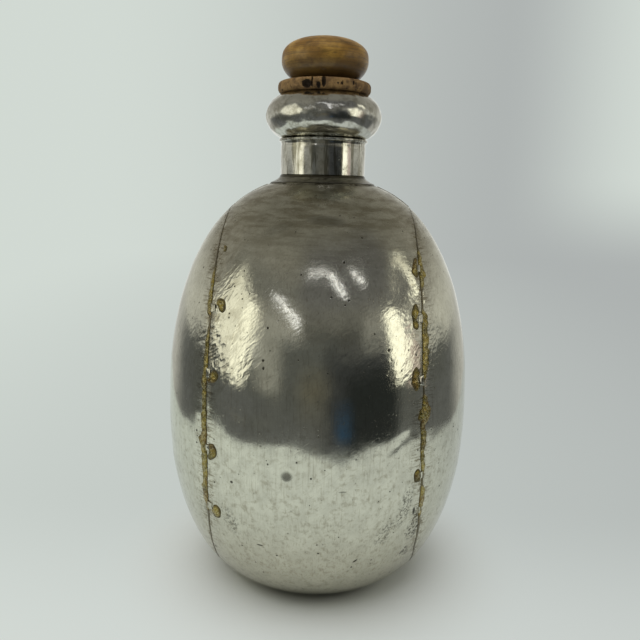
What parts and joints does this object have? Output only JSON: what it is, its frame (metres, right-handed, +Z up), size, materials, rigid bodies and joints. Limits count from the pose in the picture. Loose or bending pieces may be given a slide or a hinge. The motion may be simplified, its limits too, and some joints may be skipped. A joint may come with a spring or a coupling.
{
  "type": "metal flask with stopper",
  "caption": "Egg-shaped sheet-metal flask with brazed side seams, a collared and bulbed neck, and a wood and cork stopper that twists and lifts out.",
  "frame": {"origin": "centre of the flat base, on the surface that the flask stands on", "axes": "+Z up along the neck, -Y towards the front that the picture shows, +X to its right, across the two side seams"},
  "size_m": [0.1428, 0.1428, 0.2505],
  "materials": {
    "sheet_metal": "polished by hand and worn, with pits and soft dents",
    "braze": "dull, uneven and stained",
    "solder": "dull grey",
    "wood": "turned, rubbed with oil and worn",
    "cork": "bare natural cork with voids"
  },
  "bodies": {
    "flask": {"front_panel": "sheet_metal", "back_panel": "sheet_metal", "left_cap": "sheet_metal", "right_cap": "sheet_metal", "left_seam_braze": "braze", "right_seam_braze": "braze", "left_cramp_braze": "braze", "right_cramp_braze": "braze", "shoulder_seam_braze": "braze", "base_seam_braze": "braze", "neck_tube": "sheet_metal", "neck_foot": "sheet_metal", "foot_solder": "solder", "neck_collar": "sheet_metal", "neck_bead": "sheet_metal", "mouth_bulb": "sheet_metal"},
    "washer": {"cork_washer": "cork"},
    "stopper": {"stopper_knob": "wood", "stopper_peg": "wood", "stopper_plug": "cork"}
  },
  "joints": [
    {"name": "stopper_lift", "type": "slide", "parent": "flask", "child": "washer", "axis": [0, 0, 1], "range_m": [0, 0.04]},
    {"name": "stopper_twist", "type": "hinge", "parent": "washer", "child": "stopper", "pos_m": [0, 0, 0.231], "axis": [0, 0, 1], "continuous": true}
  ]
}
